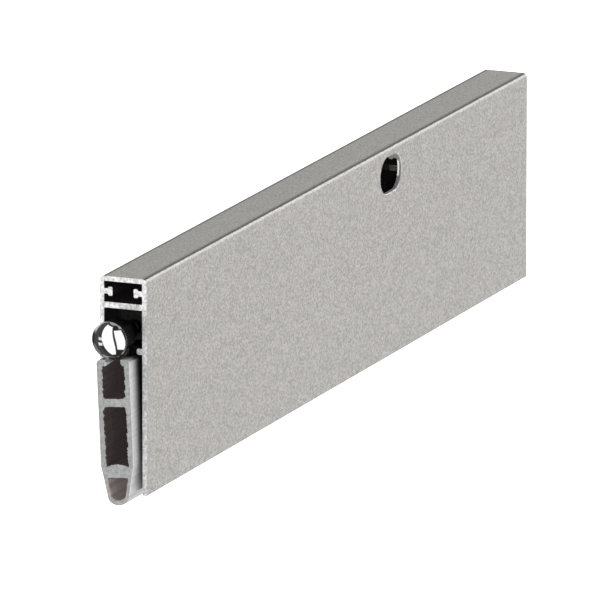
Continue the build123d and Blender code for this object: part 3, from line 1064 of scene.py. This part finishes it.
@dataclass
class Seal(Assembly):
    """Soft profile, cut at a slant at the button end, both down and across."""

    middle: float = -5.3
    top: float = -10.35
    height: float = 32.0
    half: float = 3.18
    wall: float = 1.1
    mouth: float = 1.45
    lips: float = -1.5
    upper: float = -8.45
    roof: float = -10.4
    floor: float = -23.4
    crown: float = 0.55
    waist: float = -26.0
    foot: float = 2.7
    foot_wall: float = 0.75
    foot_bottom: float = 1.2
    taper: float = 0.15
    top_round: float = 0.8
    lip_round: float = 0.56
    chamber_round: float = 0.5
    shoulder_round: float = 3.0
    out_top: float = 5.65
    out_bottom: float = 2.55
    cut_turn: float = 22.5
    edge: float = 0.1
    shown: float = 2.2
    slack: float = 0.3
    side_slack: float = 0.25
    waviness: float = 0.4
    waves: float = 2.1
    waves_along: float = 0.12
    waves_apart: float = 40.0
    calm: float = 0.35
    rough_depth: float = 6.0
    first_stations: tuple[float, ...] = (0.5, 1.0, 1.6, 2.4, 3.5, 5.0, 7.0, 9.0, 12.0)
    station_gap: float = 8.0
    stations: int = 22
    point_gap: float = 0.3

    @property
    def inner(self) -> float:
        """Half of the hollows' width."""
        return self.half - self.wall

    def round_foot(self, half: float, bottom: float) -> Loop:
        """Round bottom between sides that draw in by the taper, from the +y side to the -y side."""
        norm = math.hypot(1.0, self.taper)
        radius = (half - self.taper * (self.waist - bottom)) / (norm - self.taper)
        tilt = math.degrees(math.atan(self.taper))
        return arc((0.0, bottom + radius), radius, -tilt, tilt - 180.0, steps=20)

    def loops(self) -> list[Loop]:
        """Outline of the section, then its middle chamber and the hollow of its foot, from the top at 0."""
        inner, lip = self.inner, self.lip_round
        mouth = [
            Corner(-self.mouth, 0, lip), Corner(-self.mouth, self.lips, lip), Corner(-inner, self.lips),
            Corner(-inner, self.upper, self.chamber_round), Corner(inner, self.upper, self.chamber_round),
            Corner(inner, self.lips), Corner(self.mouth, self.lips, lip), Corner(self.mouth, 0, lip),
        ]
        bottom = [Corner(*p) for p in self.round_foot(self.foot, -self.height)]
        outside = outline([
            *mouth, Corner(self.half, 0, self.top_round), Corner(self.half, self.floor, self.shoulder_round),
            Corner(self.foot, self.waist, self.shoulder_round), *bottom,
            Corner(-self.foot, self.waist, self.shoulder_round),
            Corner(-self.half, self.floor, self.shoulder_round), Corner(-self.half, 0, self.top_round),
        ])
        rise = self.crown
        radius = (inner**2 + rise**2) / (2 * rise)
        spread = math.degrees(math.asin(inner / radius))
        crown = arc((0.0, self.floor + rise - radius), radius, 90 - spread, 90 + spread, steps=10)
        chamber = outline([
            Corner(-inner, self.roof, self.chamber_round), Corner(inner, self.roof, self.chamber_round),
            *[Corner(*p) for p in crown],
        ])
        bowl = self.foot - self.foot_wall
        hollow = [(-bowl, self.waist), (bowl, self.waist), *self.round_foot(bowl, self.foot_bottom - self.height)]
        return [finely(loop, self.point_gap) for loop in (outside, chamber, hollow)]

    def build(self) -> None:
        """Make the profile and dress it."""
        loops = self.loops()
        normals = [outward(loop) for loop in loops]
        slant = (self.out_top - self.out_bottom) / self.height
        across = math.tan(math.radians(self.cut_turn))
        length = self.far - self.near + self.out_top
        depths = [0.0, self.edge, *self.first_stations]
        depths += [d * self.station_gap for d in range(2, self.stations)] + [length - self.edge, length]

        def rough(n: int, point: Point) -> bool:
            """Whether a point is on the wall of a hollow."""
            return n > 0 or (abs(point[0]) < self.inner + SMALL and self.upper - SMALL < point[1] < -SMALL)

        def place(s: int, n: int, i: int) -> tuple[float, float, float]:
            """Point of the profile, wavy on the walls of its hollows and rounded at its cut edges."""
            y, z = loops[n][i]
            depth = depths[s]
            out = normals[n][i] * (-1 if n == 0 else 1)
            shift = self.edge if s in (0, len(depths) - 1) else 0.0
            if rough(n, (y, z)):
                spot = (depth * self.waves_along, y * self.waves, z * self.waves + self.waves_apart * n)
                wave = noise.noise(Vector(spot))
                share = self.calm if n == 2 or abs(out.x) < MOSTLY else 1.0
                shift += self.waviness * wave * share * (1.0 if depth < self.rough_depth else 0.5)
            start = self.near - self.out_top - z * slant - y * across
            x = start + (self.far - start) * depth / length
            return x, self.middle + y + out.x * shift, self.top + z + out.y * shift

        piece = swept("seal_profile", loops, depths, place)
        settle(piece, SOFT_SHARP)
        faces = self.looks.all(
            SKIN_SILICONE, CUT_SILICONE, PAINTED_SHADE_HOLLOW, SIDE_PAINTED_HIGHLIGHT_AND_SHADE, PAINTED_SHADE_FOOT, LIP_PAINTED_SHADE
        )
        dress(piece, Body.SEAL, Slot.SILICONE, *faces)
        for face in piece.data.polygons:
            face.material_index = self.zone(face.center / MM, face.normal)
        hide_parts("seal")

    def zone(self, place: Vector, normal: Vector) -> SealFace:
        """Which of the profile's materials a face gets.

        Args:
            place: middle of the face.
            normal: its direction.

        Returns:
            The material's number.
        """
        if abs(normal.x) > NEARLY:
            return SealFace.CUT
        y, z = place.y - self.middle, place.z - self.top
        near_roof = self.waist + self.slack
        # The hollows get painted shade.
        if abs(y) < self.inner + self.side_slack and near_roof <= z < self.lips + self.edge:
            return SealFace.HOLLOW
        # Below the middle chamber, the foot's roof and hollow get painted shade.
        if z < near_roof:
            if z > self.waist - self.slack and normal.z < -HALF_WAY:
                return SealFace.HOLLOW
            if y * normal.y < 0 or z > self.foot_bottom - self.height - self.slack and normal.z > ASLANT:
                return SealFace.FOOT_HOLLOW
        # The tops of the lips get painted shade.
        if z > self.lips and normal.z > ASLANT:
            return SealFace.LIP
        # The room side above the strip that shows below the case gets a painted highlight and painted shade.
        return SealFace.SIDE if normal.y < -HALF_WAY and z > self.shown - self.height else SealFace.SKIN


@dataclass
class PushButton(Assembly):
    """Hexagonal head with a round domed end."""

    flats: float = 6.58
    turn: float = 44.0
    front: float = 6.4
    back: float = 0.8
    chamfer: float = 0.35
    dome: float = 5.0
    dome_edge: float = 3.95
    dome_edge_length: float = 1.0
    bore: float = 1.53
    bore_end: float = 5.3
    edge: float = 0.16
    sides: int = 96
    rings: int = 14

    def build(self, axis: Point) -> None:
        """Make the head and dress it.

        Args:
            axis: (y, z) of the rod.
        """
        near = self.near
        apothem = self.flats / 2
        corner = apothem / math.cos(math.pi / 6)
        rise = self.dome - math.sqrt(self.dome**2 - self.dome_edge**2)
        tip = near - self.front - rise
        sides, rings = self.sides, self.rings
        shape = bmesh.new()

        def point(x: float, radius: float, angle: float) -> bmesh.types.BMVert:
            """Point about the rod's axis, its angle counted from the room side upwards."""
            return shape.verts.new((x, axis[0] - radius * math.cos(angle), axis[1] + radius * math.sin(angle)))

        angles = [math.radians(self.turn) + 2 * math.pi * k / sides for k in range(sides)]
        reach = [apothem / math.cos((2 * math.pi * k / sides) % (math.pi / 3) - math.pi / 6) for k in range(sides)]
        grid = [[shape.verts.new((tip, *axis))]]
        for n in range(1, rings + 1):
            radius = self.dome_edge * n / rings
            grid.append([point(tip + self.dome - math.sqrt(self.dome**2 - radius**2), radius, a) for a in angles])
        edge_back, back = near - self.front + self.dome_edge_length, near - self.back
        grid.append([point(edge_back, self.dome_edge, a) for a in angles])
        grid.append([point(edge_back, r, a) for a, r in zip(angles, reach)])
        grid.append([point(back - max(0.0, r - corner + self.chamfer), r, a) for a, r in zip(angles, reach)])
        grid.append([point(back, min(r, corner - self.chamfer), a) for a, r in zip(angles, reach)])
        grid.append([point(back, self.bore, a) for a in angles])
        grid.append([point(near - self.bore_end, self.bore, a) for a in angles])
        grid.append([shape.verts.new((near - self.bore_end, *axis))])
        ring_faces(shape, grid)
        piece = from_bmesh("push_button_head", shape)
        bevel(piece, self.edge, segments=3, angle=22.0)
        dress(piece, Body.BUTTON, Slot.CHROME, *self.looks.all(CHROME, STEEL_PAINTED_SHADE))
        # Faces behind the dome's rim get painted shade.
        rim = near - self.front + 2 * SMALL
        for face in piece.data.polygons:
            face.material_index = int(face.center.x / MM > rim)
        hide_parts("push_button")


@dataclass
class LeafSpring(Assembly):
    """Strip held in a block at each end, bowed down in the middle."""

    width: float = 4.6
    thickness: float = 0.4
    bow: float = 0.8
    in_slider: float = 2.5
    in_anchor: float = 3.0
    travel: float = 5.2
    hole: float = 0.95
    edge: float = 0.08
    stations: int = 36
    straight: int = 4
    point_gap: float = 0.7

    def build(self, number: int) -> None:
        """Make the two halves of a spring and dress them.

        Args:
            number: number of the spring.
        """
        node = f"leaf_spring_{number}"
        low, high = box_of(node)
        first, last = low.x + self.in_slider, high.x - self.in_anchor
        middle, level, across = (first + last) / 2, high.z, (low.y + high.y) / 2
        half, under = self.width / 2, -self.thickness
        corners = [Corner(y, z, self.edge) for y, z in ((half, 0), (half, under), (-half, under), (-half, 0))]
        section = finely(outline(corners, steps=3), self.point_gap)
        for side, end, tail in (("near", first + self.travel, low.x), ("far", last, high.x)):
            stations = [tail + (end - tail) * k / self.straight for k in range(self.straight)]
            stations += [end + (middle - end) * k / self.stations for k in range(self.stations + 1)]

            def place(s: int, _: int, i: int) -> tuple[float, float, float]:
                """Point of the strip, let down by the bow."""
                x = stations[s]
                t = min(1.0, max(0.0, (x - end) / (middle - end)))
                y, z = section[i]
                return x, across + y, level + z - self.bow * t * t * (3 - 2 * t)

            piece = swept(f"leaf_{number}_{side}", [section], stations, place)
            punch = bar(-self.width, self.width, self.hole)
            cut(piece, turned("punch", punch, Axis.Z, (middle, across, level), sides=32))
            settle(piece)
            dress(piece, Body.CASE, Slot.SPRING, self.looks[SPRING_STEEL])
            piece.parent = None
            end * MM
            across * MM
            level * MM
            middle * MM
            across * MM
            level * MM
            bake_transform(piece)
            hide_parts(node)


@dataclass
class Fixings(Assembly):
    """Screws, rivets, and the thread on the rod."""

    screw_radius: float = 1.05
    screw_head: float = 2.2
    screw_length: float = 6.5
    screw_rim: float = 0.06
    screw_point: float = 0.45
    socket: float = 0.866
    socket_depth: float = 0.8
    pitch: float = 0.5
    tooth: float = 0.2
    rivet_radius: float = 0.9
    rivet_head: float = 1.7
    rivet_rise: float = 0.55
    rivet_chamfer: float = 0.15
    rod_radius: float = 1.5
    rod_core: float = 1.3
    rod_thread_end: float = 6.0
    rod_tooth: float = 0.14
    rod_chamfer: float = 0.3
    pin_radius: float = 0.77

    def screws(self, places: Sequence[Vector], tree: bpy.types.NodeTree) -> None:
        """Make the countersunk screws and dress them.

        Args:
            places: middles of the heads, on the door face.
            tree: the thread tree.
        """
        r, head, length = self.screw_radius, self.screw_head, self.screw_length
        rim, point = self.screw_rim, self.screw_point
        profile = [
            (-length, 0), (-length, r - point), (point - length, r), (r - head, r), (-rim, head - rim / 3),
            (0, head - rim), (0, 0),
        ]
        part = turned("screw", profile, Axis.Z, ORIGIN, sides=48)
        look = self.looks[ZINC_STEEL]
        cut(part, turned("key", bar(-self.socket_depth, 1, self.socket), Axis.Z, ORIGIN, sides=6))
        turns = (length - (head - r) - 2 * point) / self.pitch
        piece = grow(
            "block_screws", places, tree, part, look, Radius=r * MM, Pitch=self.pitch * MM,
            Turns=turns, Depth=self.tooth * MM, Start=(self.pitch - length) * MM, Turn=(-math.pi / 2, 0.0, 0.0),
        )
        dress(piece, Body.CASE, Slot.STEEL, look)
        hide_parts(*BLOCK_SCREWS)

    def rivets(self) -> None:
        """Make the rivets and dress them."""
        nodes = ("rivet_1", "rivet_2")
        low, high = box_of(nodes[0])
        under, r, chamfer = high.z - self.rivet_rise, self.rivet_radius, self.rivet_chamfer
        dome = [(under + rise, out * self.rivet_head / self.rivet_rise)
                for out, rise in arc((0.0, 0.0), self.rivet_rise, 0.0, 72.0, steps=8)]
        profile = [(low.z, 0), (low.z, r - chamfer), (low.z + chamfer, r), (under, r), *dome, (high.z, 0)]
        part = turned("rivet", profile, Axis.Z, ORIGIN, sides=40)
        places = [(*middle_of(node).xy, 0) for node in nodes]
        look = self.looks[ZINC_STEEL]
        piece = grow("rivets", places, point_tree(), part, look)
        dress(piece, Body.SEAL, Slot.STEEL, look)
        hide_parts(*nodes)

    def rod(self, axis: Point, tree: bpy.types.NodeTree) -> None:
        """Make the push rod, threaded at the button end and cross-drilled for its pins, and dress it.

        Args:
            axis: (y, z) of the rod.
            tree: the thread tree.
        """
        low, high = box_of("push_rod")
        r, core, rim = self.rod_radius, self.rod_core, self.rod_chamfer
        neck, end = self.near + self.rod_thread_end - low.x, high.x - low.x
        profile = [(0, 0), (0, core - rim), (rim, core), (neck, core), (neck + r - core, r), (end - rim, r),
                   (end, r - rim), (end, 0)]
        part = turned("rod", profile, Axis.Z, ORIGIN)
        for node in ("slider_pin_1", "slider_pin_2"):
            place = (0, 0, middle_of(node).x - low.x)
            cut(part, turned("bore", bar(-2 * r, 2 * r, self.pin_radius), Axis.Y, place, sides=32))
        # The rod gets painted shade near the case's button end.
        look = self.looks[ROD_STEEL_PAINTED_SHADE]
        piece = grow(
            "push_rod_turned", [(low.x, *axis)], tree, part, look, Radius=(r - self.rod_tooth) * MM,
            Pitch=self.pitch * MM, Turns=(neck - 2 * rim) / self.pitch, Depth=self.rod_tooth * MM, Start=rim * MM,
            Turn=(0.0, math.pi / 2, 0.0),
        )
        dress(piece, Body.ROD, Slot.STEEL, look)
        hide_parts("push_rod")


@dataclass(frozen=True)
class Softbox:
    """Bright window in the world, by its middle and half sizes in degrees.

    A leaning window's sides move back in azimuth by this share of the elevation.
    """

    azimuth: float
    elevation: float
    half_width: float
    half_height: float
    strength: float
    soft: float = 6.0
    lean: float = 0.0


@dataclass
class Stage:
    """Floor, studio light and camera."""

    turn: float = 22.5
    pitch: float = 13.43
    focal: float = 13703.383
    distance: float = 2857.518
    right: float = 31.896
    up: float = 41.020
    corner: tuple[float, float, float] = (-135.05, -10.6, -40.5)
    picture: float = 600.0
    sensor: float = 36.0
    floor_gap: float = 10.1
    floor_size: float = 60.0
    floor_glow: float = 1.0
    floor_grey: float = 0.93
    floor_rough: float = 0.9
    ambient: float = 0.03
    boxes: tuple[Softbox, ...] = (
        Softbox(165.5, -8.0, 29.0, 70.0, 1.45, lean=0.22),
        Softbox(228.0, -2.0, 22.0, 46.0, 1.4, lean=0.24),
        Softbox(246.0, 60.0, 15.0, 10.0, 0.4),
        Softbox(240.0, 81.0, 180.0, 10.0, 0.4, 4.0),
        Softbox(104.0, 0.0, 20.0, 80.0, 0.05, 40.0),
        Softbox(76.0, 22.0, 14.0, 12.0, 0.25, 10.0),
        Softbox(62.0, -34.0, 22.0, 12.0, 0.2, 10.0),
        Softbox(127.0, -3.0, 10.0, 5.0, 0.9, 5.0),
        Softbox(124.0, -23.0, 12.0, 5.0, 1.0, 5.0),
        Softbox(320.0, 0.0, 45.0, 65.0, 0.98, 14.0),
        Softbox(20.0, 38.0, 65.0, 32.0, 0.55, 14.0),
    )

    def camera(self) -> None:
        """Make the camera, at the photograph's place."""
        p, e = math.radians(self.turn), math.radians(self.pitch)
        ahead = Vector((math.cos(p) * math.cos(e), math.sin(p) * math.cos(e), -math.sin(e)))
        right = Vector((math.sin(p), -math.cos(p), 0.0))
        up = right.cross(ahead)
        place = Vector(self.corner) + right * self.right + up * self.up - ahead * self.distance
        data = bpy.data.cameras.new("camera")
        data.sensor_width = self.sensor
        data.lens = self.focal / self.picture * self.sensor
        data.clip_start = 0.05
        data.clip_end = 200.0
        camera = bpy.data.objects.new("camera", data)
        rotation = Matrix((right, up, -ahead)).transposed().to_4x4()
        camera.matrix_world = Matrix.Translation(place * MM) @ rotation
        bpy.context.scene.collection.objects.link(camera)
        bpy.context.scene.camera = camera

    def floor(self) -> None:
        """Make the pale floor, at the level that the dropped seal reaches."""
        level = CAD_BOUNDS[0].z / MM - self.floor_gap
        half = self.floor_size / 2
        mesh = bpy.data.meshes.new("floor")
        corners = ((-half, -half), (half, -half), (half, half), (-half, half))
        mesh.from_pydata([(*corner, level * MM) for corner in corners], [], [(0, 1, 2, 3)])
        floor = new_object("floor", mesh)
        look = bpy.data.materials.new("floor")
        look.use_nodes = True
        graph = Graph(look.node_tree)
        base = {"Base Color": rgba((self.floor_grey,) * 3), "Roughness": self.floor_rough}
        shader = graph.add("ShaderNodeBsdfPrincipled", base)
        shader.inputs["Emission Color"].default_value = rgba(WHITE)
        shader.inputs["Emission Strength"].default_value = self.floor_glow
        graph.add("ShaderNodeOutputMaterial", {"Surface": shader.outputs[0]})
        mesh.materials.append(look)
        floor.visible_glossy = False

    def world(self) -> None:
        """Make the studio: soft windows of light round the object, and white behind it for the camera."""
        world = bpy.data.worlds.new("studio")
        bpy.context.scene.world = world
        world.use_nodes = True
        graph = Graph(world.node_tree)
        parts = graph.split(graph.place("Generated"))
        azimuth = graph.maths("ARCTAN2", parts["Y"], parts["X"])
        elevation = graph.maths("ARCSINE", parts["Z"])
        total: object = self.ambient
        for box in self.boxes:
            centre = math.radians(box.azimuth)
            upright = graph.maths("ADD", azimuth, graph.times(elevation, box.lean))
            turned_by = graph.maths("SUBTRACT", upright, centre)
            wrapped = graph.add("ShaderNodeMath", {0: turned_by, 1: math.pi, 2: -math.pi}, operation="WRAP")
            level = graph.maths("SUBTRACT", elevation, math.radians(box.elevation))
            window: object = box.strength
            for offset, half in ((wrapped.outputs[0], box.half_width), (level, box.half_height)):
                edge, soft = math.radians(half), math.radians(box.soft)
                inside = graph.ramp(graph.maths("ABSOLUTE", offset), edge - soft / 2, edge + soft / 2, 1.0, 0.0)
                window = graph.times(window, inside)
            total = graph.maths("ADD", total, window)
        lamp = graph.add("ShaderNodeBackground", {"Strength": total, "Color": rgba(WHITE)})
        plain = graph.add("ShaderNodeBackground", {"Strength": 1.0, "Color": rgba(WHITE)})
        seen = graph.add("ShaderNodeLightPath").outputs["Is Camera Ray"]
        both = graph.add("ShaderNodeMixShader", {0: seen, 1: lamp.outputs[0], 2: plain.outputs[0]})
        graph.add("ShaderNodeOutputWorld", {"Surface": both.outputs[0]})

    def build(self) -> None:
        """Make the whole stage."""
        self.camera()
        self.floor()
        self.world()
        bpy.context.scene.view_settings.view_transform = "Standard"


def main() -> None:
    """Build the stage and every sub-assembly in order."""
    logging.basicConfig(level=logging.INFO, format="%(name)s: %(message)s")
    Stage().build()
    looks = Looks()
    (near, *_), (far, *_) = box_of("case")
    rod_axis = middle_of("push_rod").yz
    screws = [Vector((middle.x, 0.0, middle.z)) for middle in map(middle_of, BLOCK_SCREWS)]

    site = (near, far, looks)
    Case(*site).build(screws)
    Seal(*site).build()
    PushButton(*site).build(rod_axis)
    for number in (1, 2):
        LeafSpring(*site).build(number)
    fixings = Fixings(*site)
    thread = thread_tree()
    fixings.screws(screws, thread)
    fixings.rivets()
    fixings.rod(rod_axis, thread)

    # The lock nut sits in the case's mouth and gets painted shade.
    repaint(["lock_nut"], looks[STEEL_PAINTED_SHADE])
    repaint(["slider_pin_1", "slider_pin_2", "saddle_1", "saddle_2"], looks[ZINC_STEEL])
    repaint(["rod_guide", "slider_1", "slider_2", "spring_anchor_1", "spring_anchor_2"], looks[NYLON])
    # The carrier gets painted shade near the case's button end.
    repaint(["carrier"], looks[MILL_ALUMINIUM_PAINTED_SHADE])


if __name__ == "__main__":
    main()
